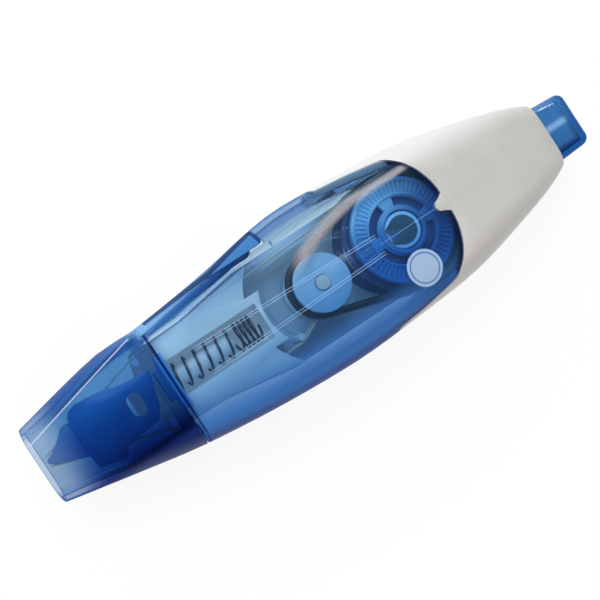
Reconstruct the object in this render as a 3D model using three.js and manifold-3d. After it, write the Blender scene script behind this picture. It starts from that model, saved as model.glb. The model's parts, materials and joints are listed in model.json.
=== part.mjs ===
// Retractable correction tape: a see-through casing with a sprung tape cartridge that slides in it.
// X runs along the casing from the mouth (-X) to the push button (+X).
// Y runs across the broad faces and Z through the thickness. Sizes are in millimetres.

import * as THREE from "three";
import { mergeVertices } from "three/addons/utils/BufferGeometryUtils.js";
import Module from "manifold-3d";

const wasm = await Module();
wasm.setup();

// Casing outline seen on the broad face: places along X, half widths there
// and how much further the -Y side bulges at the waist and the chest
const mouthX = -60;
const mouthHalfWidth = 7.2;
const noseX = -43.5;
const noseHalfWidth = 10.85;
const waistX = -34.5;
const waistHalfWidth = 11.2;
const waistBulge = 1.4;
const chestX = -20;
const chestHalfWidth = 12.95;
const chestBulge = 1.5;
const bellyX = -4;
const bellyHalfWidth = 15.56;
const hipX = 9;
const hipHalfWidth = 15.25;
const flankX = 24;
const flankHalfWidth = 14.25;
const tailX = 38;
const tailHalfWidth = 11.3;
const stemX = 47;
const stemHalfWidth = 8.9;
const rimX = 52.1;
const rimHalfWidth = 6.9;

// Casing thickness
const casingThickness = 19;
const midZ = casingThickness / 2;
const flatFrontX = -12;
const flatRearX = 26;
const mouthHalfThickness = 4.5;
const rimHalfThickness = 3.9;
const mouthTaper = 1.6;
const rimTaper = 2;
const sideFlat = 1.6;
const noseShoulder = 3.1;
const bodyShoulder = 6.2;
const rimShoulder = 3.6;
const noseCornerPower = 1.4;
const bodyCornerPower = 2;
const rimRounding = 0.5;
const mouthRounding = 0.4;
const cornerSteps = 5;
const stationStep = 3.6;
const innerStationStep = 5.5;

// Casing walls and joints between its pieces
const wall = 1.2;
const partingGap = 0.2;
const jointGap = 0.3;
const runningGap = 0.3;
const seatGap = 0.1;
const noseJointX = waistX;
const lipLength = 2.7;
const lipRoot = 1;
const lipThickness = 0.6;
const lipClearance = 0.25;

// Edge of the opaque rear housing on the broad face, with its small round tongue
const windowTipX = 23.9;
const windowShoulderY = 7;
const windowHaunchX = 20.2;
const windowHaunchY = 12.4;
const windowCornerX = 17.2;
const windowCornerY = 13.4;
const windowCornerRun = 2;
const windowHornX = 5;
const hornHalfHeight = 5.3;
const hornRootHalfHeight = 7.2;
const hornRootX = windowCornerX + windowCornerRun;
const hornCorner = 1.2;
const tongueLength = 2.3;
const tongueHalfWidth = 1.9;
const tongueRound = 1.1;

// Latch arm of the nose cover, a strip of the skin that runs back along the +Y side
const armInnerY = 9.3;
const armHalfHeight = 6.6;
const armCrestX = -21;
const armCrestY = 11.6;
const armEndX = -8.4;
const armEndHalfHeight = 8.9;
const armCorner = 0.8;
const armRootLength = 2;

// Tape
const tapeWidth = 5;
const tapeThickness = 0.25;
const tapeLift = 1;
const tapeBottom = midZ - tapeWidth / 2;
const tapeTop = midZ + tapeWidth / 2;

// Cartridge plate
const plateBottom = 4.6;
const plateThickness = 1;
const plateTop = plateBottom + plateThickness;
const plateTongueX = -42;
const plateTongueHalfWidth = 2.6;
const plateFrontX = -38;
const plateFrontHalfWidth = 8.1;
const plateWaistX = -27;
const plateWaistHalfWidth = 8.4;
const plateMidX = -14;
const plateMidHalfWidth = 10.6;
const plateRim = 0.8;
const plateSlope = 1.5;
const plateJoinAngle = 1.95;
const plateTailAngle = 0.45;
const plateTail = 2.5;
const rootSink = 0.2;
const channelRise = 0.6;
const pushWallThickness = 1.3;
const pushWallHalfWidth = 5;

// Supply reel
const supplyX = 15.1;
const supplyFlangeRadius = 10.9;
const nearFlangeRadius = 10.7;
const nearFlangeThickness = 0.6;
const supplyCoreRadius = 5.5;
const supplyGrooveRadius = 9.8;
const supplyPostRadius = 3.4;
const supplyPostWall = 0.7;
const supplyPostSink = 0.35;
const postSlotHalfWidth = 1.6;
const postSlotFloor = 1;
const keyHalfWidth = 0.8;
const keyInnerRadius = 1.4;
const rollRadius = 9.3;
const flangeThickness = 0.7;
const discRadius = 9.8;
const discThickness = 1.5;

// Take-up reel
const takeupX = -3;
const takeupFlangeRadius = 5.4;
const takeupCoreRadius = 2.6;
const takeupGrooveRadius = 4.7;
const takeupPostRadius = 1.3;
const takeupPostRise = 0.5;
const takeupDiscRadius = 6;
const takeupDiscThickness = 0.6;
const takeupDiscRise = 1;
const usedTapeRadius = 3.6;
const grooveLip = 1;

// Drive belt
const beltDiameter = 1.4;
const beltSideGap = 0.2;
const beltGap = 0.25;
const bigArcSteps = 28;
const smallArcSteps = 16;
const beltSides = 8;

// Ribs, windows and key of the supply disc
const discRibCount = 60;
const discRibInner = 6.9;
const discRibOuter = 9.1;
const discRibDepth = 0.5;
const discRibWidth = 0.4;
const ribRoot = 0.2;
const ribSink = 0.1;
const discWindowCount = 4;
const discWindowInner = 4.7;
const discWindowOuter = 6.3;
const discStepInner = 4.4;
const discStepOuter = 6.5;
const discWindowAngle = 1.1;

// Return spring and its stop
const springRadius = 2.56;
const wireDiameter = 0.48;
const springFrontX = -34.2;
const springRearX = -15.3;
const frontDeadCurls = 1;
const activeCurls = 6;
const rearDeadCurls = 4;
const deadPitch = 0.95;
const curlSteps = 8;
const wireSides = 5;
const stopThickness = 1.5;
const stopFrontX = -36.1;
const stopBarFrontX = -35.2;
const stopBarRearX = -33.4;
const stopHalfWidth = 5.3;
const stopBarHeight = 1.2;
const stopStemHalfWidth = 3;
const springRodRadius = 1.8;
const springRodLength = 13.4;
const rodChamfer = 0.6;
const rodSocketRadius = 1;
const rodSocketDepth = 1;

// Spring channel of the cartridge
const channelHalfWidth = 3.5;
const channelWall = 0.8;
const channelFrontX = -33.8;
const cupX = -14.8;
const cupShoulderX = -17;
const cupHalfWidth = 5.1;
const cupRearRadius = 11.1;
const coverRearRadius = 13.8;
const coverThickness = 0.7;
const coverEdge = 0.5;
const seatRadius = 9;
const seatRise = 0.25;

// Head: its plan from the step at the front round to the chin, then the pressing tip
const cheekThickness = 0.5;
const headStepX = -52.4;
const headStepY = 2.9;
const headTopX = -49.6;
const headTopY = 5.75;
const headDipX = -42.6;
const headDipY = 4.5;
const headBackX = -36.4;
const headBackTopY = 3.7;
const headBackLowX = -38.1;
const headBackLowY = -2.3;
const headHeelX = -39.5;
const headHeelY = -4.4;
const headChinX = -49.2;
const headChinY = -4.3;
const headChinRadius = 3;
const headChinAngle = 0.3;
const headFootX = -39.6;
const headFootLength = 1.2;
const headFootHalfWidth = 1.8;
const headSlotX = -41.3;
const headSlotY = -0.1;
const headSlotRadius = 1.35;
const headSlotLength = 1.8;
const headTipX = -58.8;
const headTipHalf = 0.45;
const headTipRound = 0.3;
const tipShoulderX = -54;
const tipShoulderY = 3.8;
const tipKneeX = -56.4;
const tipKneeY = 1.4;
const tipHeelX = -56.8;
const tipHeelY = -1.3;
const tipBreast = 0.25;
const tipOverrun = 0.15;
const tipPathGap = 0.35;
const edgeGap = 0.1;
const channelOverrun = 4;
const pinRadius = 0.7;
const feedPinX = -37.6;
const feedPinY = 6.3;
const spoolPinX = -10.6;
const spoolPinY = -6.2;

// Push button and the indexing mechanism behind the cartridge
const knockTravel = 6;
const buttonEndX = 60;
const buttonFrontX = 46.8;
const buttonHalfWidth = 6.25;
const buttonEndHalfWidth = 5.6;
const buttonHalfThickness = 3.1;
const buttonEndHalfThickness = 2.75;
const buttonCorner = 1.6;
const buttonRounding = 1.5;
const buttonWall = 1.1;
const buttonCap = 1.4;
const buttonHollowEnd = buttonEndX - buttonCap;
const buttonGap = 0.2;
const buttonFlange = 0.8;
const buttonFlangeThickness = 1.6;
const mechanismStartX = 30.2;
const sleeveLength = 9.8;
const sleeveBore = 3.9;
const sleeveWall = 1;
const sleeveSteps = 28;
const sleevePlateX = 34.6;
const sleevePlateThickness = 1.2;
const camRadius = 3.5;
const camTeeth = 8;
const camToothDepth = 0.9;
const camToothInner = 1.3;
const camSteps = 24;
const rotorFrontX = 33.2;
const rotorLength = 4.3;
const rotorBossRadius = 1.9;
const crownLength = 3;
const plungerShaftRadius = buttonEndHalfThickness - buttonWall - runningGap;

// Guide rails moulded on the inside of the casing
const railStartX = -28;
const railEndX = 9;
const railStartHalf = 2.3;
const railEndHalf = 1.5;
const railWidth = 0.4;
const railHeight = 0.6;
const runnerY = 6.2;
const runnerWidth = 0.9;
const runnerStartX = -28;
const runnerEndX = 20;
const sideRibStartX = -7;
const sideRibStartY = 10.3;
const sideRibEndX = 8.3;
const sideRibEndY = 12.1;
const sideRibWidth = 0.9;
const sideRibBottom = 15.3;

const throughCut = 1;
const tall = 2 * casingThickness;
const wide = buttonEndX;
const roundSteps = 48;
const smallSteps = 20;
const takeupSteps = 36;

function finish(colour, roughness, metalness = 0, opacity = 1) {
  const transparent = opacity < 1;
  return new THREE.MeshStandardMaterial({ color: colour, roughness, metalness, transparent, opacity });
}

const clearBlue = finish(0x7fa8d8, 0.12, 0, 0.35);
const noseBlue = finish(0x1f5fb4, 0.12, 0, 0.45);
const white = finish(0xdedcd8, 0.4);
const buttonBlue = finish(0x2a70c0, 0.15, 0, 0.7);
const midBlue = finish(0x2f7fd0, 0.35);
const paleBlue = finish(0x9fc0dc, 0.4);
const discBlue = finish(0x2f86dc, 0.35);
const deepBlue = finish(0x1c4f9c, 0.35);
const tapeWhite = finish(0xf1f0ea, 0.6);
const backing = finish(0xd9d3c2, 0.35);
const rubber = finish(0x20242c, 0.7);
const steel = finish(0x8a8c90, 0.3, 1);
const natural = finish(0xd8dadc, 0.45);

// Geometry that closes on itself with its faces pointing out
function closedGeometry(geometry) {
  const bare = geometry.clone();
  bare.deleteAttribute("normal");
  bare.deleteAttribute("uv");
  const merged = mergeVertices(bare, 1e-4);
  const position = merged.getAttribute("position");
  const index = merged.getIndex().array;
  const kept = [];
  let volume = 0;
  const a = new THREE.Vector3();
  const b = new THREE.Vector3();
  const c = new THREE.Vector3();
  for (let i = 0; i < index.length; i += 3) {
    const [i0, i1, i2] = [index[i], index[i + 1], index[i + 2]];
    if (i0 === i1 || i1 === i2 || i2 === i0) continue;
    kept.push(i0, i1, i2);
    a.fromBufferAttribute(position, i0);
    b.fromBufferAttribute(position, i1);
    c.fromBufferAttribute(position, i2);
    volume += a.dot(b.cross(c));
  }
  if (volume < 0) {
    for (let i = 0; i < kept.length; i += 3) {
      const first = kept[i];
      kept[i] = kept[i + 1];
      kept[i + 1] = first;
    }
  }
  const closed = new THREE.BufferGeometry();
  closed.setAttribute("position", new THREE.BufferAttribute(new Float32Array(position.array), 3));
  closed.setIndex(kept);
  return closed;
}

function solid(geometry) {
  const closed = closedGeometry(geometry);
  const mesh = new wasm.Mesh({
    numProp: 3,
    vertProperties: new Float32Array(closed.getAttribute("position").array),
    triVerts: new Uint32Array(closed.getIndex().array),
  });
  mesh.merge();
  return new wasm.Manifold(mesh);
}

function geometryOf(body) {
  const mesh = body.getMesh();
  const geometry = new THREE.BufferGeometry();
  geometry.setAttribute("position", new THREE.BufferAttribute(new Float32Array(mesh.vertProperties), 3));
  geometry.setIndex(Array.from(mesh.triVerts));
  return geometry;
}

function piece(name, geometry, material) {
  geometry.computeVertexNormals();
  const mesh = new THREE.Mesh(geometry, material);
  mesh.name = name;
  return mesh;
}

function solidPiece(name, body, material) {
  return piece(name, geometryOf(body), material);
}

// A box between two corners
function block(x0, x1, y0, y1, z0, z1) {
  const geometry = new THREE.BoxGeometry(x1 - x0, y1 - y0, z1 - z0);
  geometry.translate((x0 + x1) / 2, (y0 + y1) / 2, (z0 + z1) / 2);
  return solid(geometry);
}

// A plan shape raised from z0 to z1
function raised(shape, z0, z1, curveSegments = 12) {
  const geometry = new THREE.ExtrudeGeometry(shape, { depth: z1 - z0, bevelEnabled: false, curveSegments });
  geometry.translate(0, 0, z0);
  return geometry;
}

// A radius and height profile turned about the Z axis through x, y
function turned(profile, x = 0, y = 0, steps = roundSteps) {
  const points = profile.map(([r, z]) => new THREE.Vector2(r, z));
  const geometry = new THREE.LatheGeometry(points, steps);
  geometry.rotateX(Math.PI / 2);
  geometry.translate(x, y, 0);
  return closedGeometry(geometry);
}

// A radius and length profile turned about the long axis of the casing
function turnedOnAxis(profile, steps = smallSteps) {
  const points = profile.map(([r, x]) => new THREE.Vector2(r, x));
  const geometry = new THREE.LatheGeometry(points, steps);
  geometry.rotateZ(-Math.PI / 2);
  geometry.translate(0, 0, midZ);
  return closedGeometry(geometry);
}

function cylinder(radius, z0, z1, x, y, steps = smallSteps) {
  return turned([[0, z0], [radius, z0], [radius, z1], [0, z1]], x, y, steps);
}

function annulus(inner, outer, z0, z1, x, y, steps = roundSteps) {
  return turned([[inner, z0], [outer, z0], [outer, z1], [inner, z1], [inner, z0]], x, y, steps);
}

// A skin over a row of rings, with a flat cap at each end
function loft(rings) {
  const count = rings[0].length;
  const positions = [];
  const index = [];
  for (const ring of rings) {
    for (const p of ring) positions.push(p.x, p.y, p.z);
  }
  for (let r = 0; r < rings.length - 1; r += 1) {
    for (let i = 0; i < count; i += 1) {
      const j = (i + 1) % count;
      const a = r * count + i;
      const b = r * count + j;
      index.push(a, b, a + count, b, b + count, a + count);
    }
  }
  const last = (rings.length - 1) * count;
  for (let i = 1; i < count - 1; i += 1) {
    index.push(0, i + 1, i);
    index.push(last, last + i, last + i + 1);
  }
  const geometry = new THREE.BufferGeometry();
  geometry.setAttribute("position", new THREE.Float32BufferAttribute(positions, 3));
  geometry.setIndex(index);
  return geometry;
}

// A rounded rectangle in the plane across X
function crossRing(x, upper, lower, halfThickness, cornerY, cornerZ, power) {
  const ring = [];
  const centreZ = halfThickness - cornerZ;
  const signs = [[1, 1], [-1, 1], [-1, -1], [1, -1]];
  for (const [sy, sz] of signs) {
    const centreY = (sy > 0 ? upper : lower) - cornerY;
    for (let i = 0; i <= cornerSteps; i += 1) {
      const along = sy * sz > 0 ? i : cornerSteps - i;
      const angle = (along / cornerSteps) * (Math.PI / 2);
      const y = centreY + cornerY * Math.pow(Math.max(Math.cos(angle), 0), 2 / power);
      const z = centreZ + cornerZ * Math.pow(Math.max(Math.sin(angle), 0), 2 / power);
      ring.push(new THREE.Vector3(x, sy * y, midZ + sz * z));
    }
  }
  return ring;
}

// Smooth step from 0 to 1 between two places
function blend(x, from, to) {
  return THREE.MathUtils.smoothstep(x, from, to);
}

function outlineWith(waistHalf, chestHalf) {
  return new THREE.SplineCurve([
    new THREE.Vector2(mouthX, mouthHalfWidth),
    new THREE.Vector2(noseX, noseHalfWidth),
    new THREE.Vector2(waistX, waistHalf),
    new THREE.Vector2(chestX, chestHalf),
    new THREE.Vector2(bellyX, bellyHalfWidth),
    new THREE.Vector2(hipX, hipHalfWidth),
    new THREE.Vector2(flankX, flankHalfWidth),
    new THREE.Vector2(tailX, tailHalfWidth),
    new THREE.Vector2(stemX, stemHalfWidth),
    new THREE.Vector2(rimX, rimHalfWidth),
  ]).getPoints(240);
}

const upperOutline = outlineWith(waistHalfWidth, chestHalfWidth);
const lowerOutline = outlineWith(waistHalfWidth + waistBulge, chestHalfWidth + chestBulge);

function halfWidthAt(outline, x) {
  if (x <= outline[0].x) return outline[0].y;
  for (let i = 1; i < outline.length; i += 1) {
    const before = outline[i - 1];
    const after = outline[i];
    if (x <= after.x) {
      const share = (x - before.x) / (after.x - before.x);
      return before.y + (after.y - before.y) * share;
    }
  }
  return outline[outline.length - 1].y;
}

function halfThicknessAt(x) {
  if (x < flatFrontX) {
    const share = Math.min((flatFrontX - x) / (flatFrontX - mouthX), 1);
    return midZ - (midZ - mouthHalfThickness) * Math.pow(share, mouthTaper);
  }
  if (x > flatRearX) {
    const share = Math.min((x - flatRearX) / (rimX - flatRearX), 1);
    return midZ - (midZ - rimHalfThickness) * Math.pow(share, rimTaper);
  }
  return midZ;
}

const shoulderStartX = noseJointX - 4;

function shoulderAt(x) {
  const toBody = blend(x, shoulderStartX, bellyX);
  const toRim = blend(x, flatRearX, rimX);
  return noseShoulder + (bodyShoulder - noseShoulder) * toBody + (rimShoulder - bodyShoulder) * toRim;
}

function cornerPowerAt(x) {
  return noseCornerPower + (bodyCornerPower - noseCornerPower) * blend(x, shoulderStartX, chestX);
}

// How far the outside draws in where it rounds over at an open end
function endRounding(x) {
  const rear = Math.max(x - (rimX - rimRounding), 0);
  const front = Math.max(mouthX + mouthRounding - x, 0);
  const rearInset = rimRounding - Math.sqrt(Math.max(rimRounding ** 2 - rear ** 2, 0));
  const frontInset = mouthRounding - Math.sqrt(Math.max(mouthRounding ** 2 - front ** 2, 0));
  return rearInset + frontInset;
}

function casingRing(x, inset) {
  const leastCorner = 0.6;
  const upper = halfWidthAt(upperOutline, x) - inset;
  const lower = halfWidthAt(lowerOutline, x) - inset;
  const halfThickness = halfThicknessAt(x) - inset;
  const cornerY = Math.max(shoulderAt(x) - inset, leastCorner);
  const cornerZ = Math.max(halfThicknessAt(x) - sideFlat - inset, leastCorner);
  return crossRing(x, upper, lower, halfThickness, cornerY, cornerZ, cornerPowerAt(x));
}

// Places along X for the rings, closer together where the ends round over
function stations(from, to, step, extra = []) {
  const count = Math.ceil((to - from) / step);
  const places = [flatFrontX, flatRearX, ...extra].filter((x) => x > from && x < to);
  for (let i = 0; i <= count; i += 1) places.push(from + ((to - from) * i) / count);
  places.sort((a, b) => a - b);
  return places.filter((x, i) => i === 0 || x - places[i - 1] > 0.05);
}

function casingSolid(inset, from, to) {
  return solid(loft(stations(from, to, innerStationStep).map((x) => casingRing(x, inset))));
}

function casingOutside() {
  const extra = [];
  for (const share of [0.35, 0.7, 0.9]) {
    extra.push(rimX - rimRounding + rimRounding * share);
    extra.push(mouthX + mouthRounding - mouthRounding * share);
  }
  extra.push(rimX - rimRounding, mouthX + mouthRounding);
  const places = stations(mouthX, rimX, stationStep, extra);
  return solid(loft(places.map((x) => casingRing(x, endRounding(x)))));
}

function buttonRing(x, inset) {
  const share = (x - buttonFrontX) / (buttonEndX - buttonFrontX);
  const halfWidth = buttonHalfWidth + (buttonEndHalfWidth - buttonHalfWidth) * share - inset;
  const halfThickness = buttonHalfThickness + (buttonEndHalfThickness - buttonHalfThickness) * share - inset;
  const corner = Math.max(buttonCorner - inset, 0.4);
  return crossRing(x, halfWidth, halfWidth, halfThickness, corner, corner, 2);
}

// Everything in front of the edge of the rear housing, drawn in by a gap
function windowShape(gap) {
  const front = mouthX - throughCut;
  const edgeX = windowTipX - gap;
  const rootY = tongueHalfWidth + gap / 2;
  const cornerX = windowCornerX - gap;
  const cornerY = windowCornerY - gap;
  const haunchX = windowHaunchX - gap;
  const haunchY = windowHaunchY - gap;
  const sideX = cornerX - windowCornerRun;
  const shape = new THREE.Shape();
  shape.moveTo(front, -wide);
  shape.lineTo(sideX, -wide);
  shape.lineTo(cornerX, -cornerY);
  shape.bezierCurveTo(haunchX, -haunchY, edgeX, -windowShoulderY, edgeX, -rootY);
  shape.absarc(
    windowTipX - tongueLength + tongueRound, 0,
    tongueRound + gap, -Math.PI / 2, Math.PI / 2, true,
  );
  shape.lineTo(edgeX, rootY);
  shape.bezierCurveTo(edgeX, windowShoulderY, haunchX, haunchY, cornerX, cornerY);
  shape.lineTo(sideX, wide);
  shape.lineTo(front, wide);
  return shape;
}

// Side strips of the rear housing that run forward along its widest part, grown by a gap
function hornRoom(gap) {
  const front = windowHornX - gap;
  const low = hornHalfHeight + gap;
  const high = hornRootHalfHeight + gap;
  const shape = new THREE.Shape();
  shape.moveTo(front, 0);
  shape.lineTo(front, low - hornCorner);
  shape.quadraticCurveTo(front, low, front + hornCorner, low);
  shape.lineTo(hornRootX, high);
  shape.lineTo(hornRootX, -high);
  shape.lineTo(front + hornCorner, -low);
  shape.quadraticCurveTo(front, -low, front, hornCorner - low);
  const geometry = raised(shape, -wide, wide);
  geometry.rotateX(Math.PI / 2);
  geometry.translate(0, 0, midZ);
  return solid(geometry);
}

const outside = casingOutside();
const inside = casingSolid(wall, mouthX - throughCut, rimX - wall);
const skin = outside.subtract(inside);

// Room of the latch arm, grown by a clearance: a band and a wider part behind its crest
function armRoom(clearance) {
  const rearX = armEndX + clearance;
  const reach = armHalfHeight + clearance;
  const band = block(
    noseJointX - armRootLength, rearX,
    armInnerY - clearance, wide,
    midZ - reach, midZ + reach,
  );
  const edgeY = armCrestY - clearance;
  const shape = new THREE.Shape();
  shape.moveTo(armCrestX, wide);
  shape.lineTo(armCrestX, edgeY);
  shape.lineTo(rearX - armCorner, edgeY);
  shape.quadraticCurveTo(rearX, edgeY, rearX, edgeY + armCorner);
  shape.lineTo(rearX, wide);
  const endReach = armEndHalfHeight + clearance;
  return band.add(solid(raised(shape, midZ - endReach, midZ + endReach)));
}

function noseCover() {
  const front = skin.intersect(block(mouthX - throughCut, noseJointX - jointGap, -wide, wide, -tall, tall));
  return solidPiece("nose_cover", front.add(skin.intersect(armRoom(0))), noseBlue);
}

// Thin ring inside the nose cover that lines it up with the body
function noseLip() {
  const inset = wall + lipClearance;
  const lipFront = noseJointX - lipLength;
  const ringOutside = casingSolid(inset, lipFront, noseJointX + lipRoot);
  const ringInside = casingSolid(inset + lipThickness, lipFront - throughCut, noseJointX + lipRoot + throughCut);
  const root = casingSolid(wall - rootSink, noseJointX, noseJointX + lipRoot);
  return ringOutside.add(root).subtract(ringInside);
}

// A pair of rails on the inner face of the near shell, drawing together towards the rear
function guideRails() {
  const inner = casingThickness - wall;
  const rails = [];
  for (const side of [-1, 1]) {
    const shape = new THREE.Shape();
    shape.moveTo(railStartX, side * railStartHalf);
    shape.lineTo(railEndX, side * railEndHalf);
    shape.lineTo(railEndX, side * (railEndHalf + railWidth));
    shape.lineTo(railStartX, side * (railStartHalf + railWidth));
    rails.push(solid(raised(shape, inner - railHeight, casingThickness - wall / 2)));
  }
  return rails[0].add(rails[1]).intersect(outside);
}

// Rib on the inner face of the near shell beside the upper run of the belt
function sideRib() {
  const shape = new THREE.Shape();
  shape.moveTo(sideRibStartX, sideRibStartY);
  shape.lineTo(sideRibEndX, sideRibEndY);
  shape.lineTo(sideRibEndX, sideRibEndY + sideRibWidth);
  shape.lineTo(sideRibStartX, sideRibStartY + sideRibWidth);
  return solid(raised(shape, sideRibBottom, casingThickness)).intersect(casingSolid(wall / 2, mouthX, rimX));
}

// Two runners on the inner face of the far shell that carry the cartridge plate
function runners() {
  const top = plateBottom - runningGap;
  const left = block(runnerStartX, runnerEndX, runnerY, runnerY + runnerWidth, wall / 2, top);
  const right = block(runnerStartX, runnerEndX, -runnerY - runnerWidth, -runnerY, wall / 2, top);
  return left.add(right).intersect(outside);
}

function bodyShells() {
  const window = solid(raised(windowShape(jointGap), -tall, tall)).subtract(hornRoom(jointGap));
  const behindNose = block(noseJointX, wide, -wide, wide, -tall, tall);
  const shell = skin.intersect(window).intersect(behindNose);
  const clear = shell.add(noseLip()).subtract(armRoom(runningGap));
  const nearHalf = block(-wide * 2, wide * 2, -wide, wide, midZ + partingGap / 2, tall);
  const farHalf = block(-wide * 2, wide * 2, -wide, wide, -tall, midZ - partingGap / 2);
  return [
    solidPiece("body_shell_near", clear.intersect(nearHalf).add(guideRails()).add(sideRib()), clearBlue),
    solidPiece("body_shell_far", clear.intersect(farHalf).add(runners()), clearBlue),
  ];
}

function rearHousing() {
  const window = solid(raised(windowShape(0), -tall, tall)).subtract(hornRoom(0));
  const mouth = solid(loft([
    buttonRing(buttonFrontX, -buttonGap),
    buttonRing(buttonEndX, -buttonGap),
  ]));
  return solidPiece("rear_housing", skin.subtract(window).subtract(mouth), white);
}

// Return spring: one unbroken wire wound round the long axis
function springPoints() {
  const activeLength = springRearX - springFrontX - 2 * wireDiameter
    - (frontDeadCurls + rearDeadCurls) * deadPitch;
  const activePitch = activeLength / activeCurls;
  const total = (frontDeadCurls + activeCurls + rearDeadCurls) * curlSteps;
  const points = [];
  let x = springFrontX + wireDiameter;
  for (let i = 0; i <= total; i += 1) {
    const angle = (i / curlSteps) * Math.PI * 2;
    points.push(new THREE.Vector3(
      x,
      springRadius * Math.sin(angle),
      midZ + springRadius * Math.cos(angle),
    ));
    const curl = i / curlSteps;
    const dead = curl < frontDeadCurls || curl >= frontDeadCurls + activeCurls;
    x += (dead ? deadPitch : activePitch) / curlSteps;
  }
  const first = points[0].clone();
  first.x = springFrontX;
  const last = points[points.length - 1].clone();
  last.x = springRearX;
  return [first, ...points, last];
}

function leastSelfGap(points, diameter, apart) {
  let least = Infinity;
  for (let i = 0; i < points.length; i += 1) {
    for (let j = i + apart; j < points.length; j += 1) {
      least = Math.min(least, points[i].distanceTo(points[j]));
    }
  }
  return least - diameter;
}

// A tube of few sides that follows a row of points
function wire(points, diameter, sides) {
  const rings = [];
  for (let i = 0; i < points.length; i += 1) {
    const before = points[Math.max(i - 1, 0)];
    const after = points[Math.min(i + 1, points.length - 1)];
    const tangent = after.clone().sub(before).normalize();
    const radial = new THREE.Vector3(0, points[i].y, points[i].z - midZ).normalize();
    radial.addScaledVector(tangent, -radial.dot(tangent)).normalize();
    const side = tangent.clone().cross(radial).normalize();
    const ring = [];
    for (let s = 0; s < sides; s += 1) {
      const angle = (s / sides) * Math.PI * 2;
      ring.push(points[i].clone()
        .addScaledVector(radial, Math.cos(angle) * diameter / 2)
        .addScaledVector(side, Math.sin(angle) * diameter / 2));
    }
    rings.push(ring);
  }
  return closedGeometry(loft(rings));
}

function returnSpring() {
  const points = springPoints();
  const gap = leastSelfGap(points, wireDiameter, curlSteps / 2);
  console.log(`return spring: least gap to itself ${gap.toFixed(2)} mm`);
  return piece("return_spring", wire(points, wireDiameter, wireSides), steel);
}

// Stop for the front of the spring: a cross bar under the lip of the casing and a stem below it
function springStop() {
  const rearX = stopFrontX + stopThickness;
  const lipInset = wall + lipClearance + lipThickness;
  const barTop = midZ + halfThicknessAt(stopBarFrontX) - lipInset - seatGap;
  const barBottom = barTop - stopBarHeight;
  const bar = block(stopBarFrontX, stopBarRearX, -stopHalfWidth, stopHalfWidth, barBottom, barTop);
  const stemBottom = midZ - springRadius - wireDiameter / 2;
  const stemTop = barBottom + rootSink;
  const stem = block(stopFrontX, rearX, -stopStemHalfWidth, stopStemHalfWidth, stemBottom, stemTop);
  const socket = solid(turnedOnAxis([
    [0, rearX - rodSocketDepth],
    [rodSocketRadius, rearX - rodSocketDepth],
    [rodSocketRadius, rearX + throughCut],
    [0, rearX + throughCut],
  ]));
  return solidPiece("spring_stop", bar.add(stem).subtract(socket), midBlue);
}

// Rod that keeps the spring straight, with a spigot in the socket of the stop
function springRod() {
  const rearX = stopFrontX + stopThickness + seatGap;
  const spigotX = rearX - rodSocketDepth;
  const spigot = rodSocketRadius - seatGap;
  return piece("spring_rod", turnedOnAxis([
    [0, spigotX],
    [spigot, spigotX],
    [spigot, rearX],
    [springRodRadius, rearX],
    [springRodRadius, rearX + springRodLength - rodChamfer],
    [springRodRadius - rodChamfer, rearX + springRodLength],
    [0, rearX + springRodLength],
  ]), natural);
}

// Levels of the two reels
const flangeBottom = plateTop + runningGap;
const flangeTop = flangeBottom + flangeThickness;
const coreTop = tapeTop + runningGap;
const grooveBottom = coreTop + nearFlangeThickness;
const grooveTop = grooveBottom + beltDiameter + 2 * beltSideGap;
const discBottom = grooveTop + runningGap;
const discTop = discBottom + discThickness;
const beltZ = (grooveBottom + grooveTop) / 2;
const channelTop = tapeTop + channelRise;
const supplyBore = supplyPostRadius + runningGap;
const takeupBore = takeupPostRadius + runningGap;

// A reel: far flange, winding core, near flange and belt groove
function reel(x, bore, flangeRadius, coreRadius, lipRadius, grooveRadius, steps) {
  return turned([
    [bore, flangeBottom],
    [flangeRadius, flangeBottom],
    [flangeRadius, flangeTop],
    [coreRadius, flangeTop],
    [coreRadius, coreTop],
    [lipRadius, coreTop],
    [lipRadius, grooveBottom],
    [grooveRadius, grooveBottom],
    [grooveRadius, grooveTop],
    [bore, grooveTop],
    [bore, flangeBottom],
  ], x, 0, steps);
}

// Ribbed disc of the supply reel with its sunk ring of windows
function supplyDisc() {
  const ribFloor = discTop - discRibDepth;
  let body = solid(annulus(supplyBore, discRadius, discBottom, discTop, supplyX, 0, discRibCount));
  const sunkRings = [[discRibInner, discRibOuter], [discStepInner, discStepOuter]];
  for (const [inner, outer] of sunkRings) {
    const ring = annulus(inner, outer, ribFloor, discTop + throughCut, supplyX, 0, discRibCount);
    body = body.subtract(solid(ring));
  }
  for (let i = 0; i < discWindowCount; i += 1) {
    const middle = ((i + 0.5) / discWindowCount) * Math.PI * 2;
    const start = middle - discWindowAngle / 2;
    const end = middle + discWindowAngle / 2;
    const shape = new THREE.Shape();
    shape.absarc(supplyX, 0, discWindowOuter, start, end, false);
    shape.absarc(supplyX, 0, discWindowInner, end, start, true);
    body = body.subtract(solid(raised(shape, discBottom - throughCut, discTop + throughCut, 8)));
  }
  const ribLength = discRibOuter - discRibInner + 2 * ribRoot;
  for (let i = 0; i < discRibCount; i += 1) {
    const rib = new THREE.BoxGeometry(ribLength, discRibWidth, discRibDepth);
    rib.translate((discRibInner + discRibOuter) / 2, 0, discTop - discRibDepth / 2 - ribSink);
    rib.rotateZ(((i + 0.5) / discRibCount) * Math.PI * 2);
    rib.translate(supplyX, 0, 0);
    body = body.add(solid(rib));
  }
  return solidPiece("supply_disc", body, discBlue);
}

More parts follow.
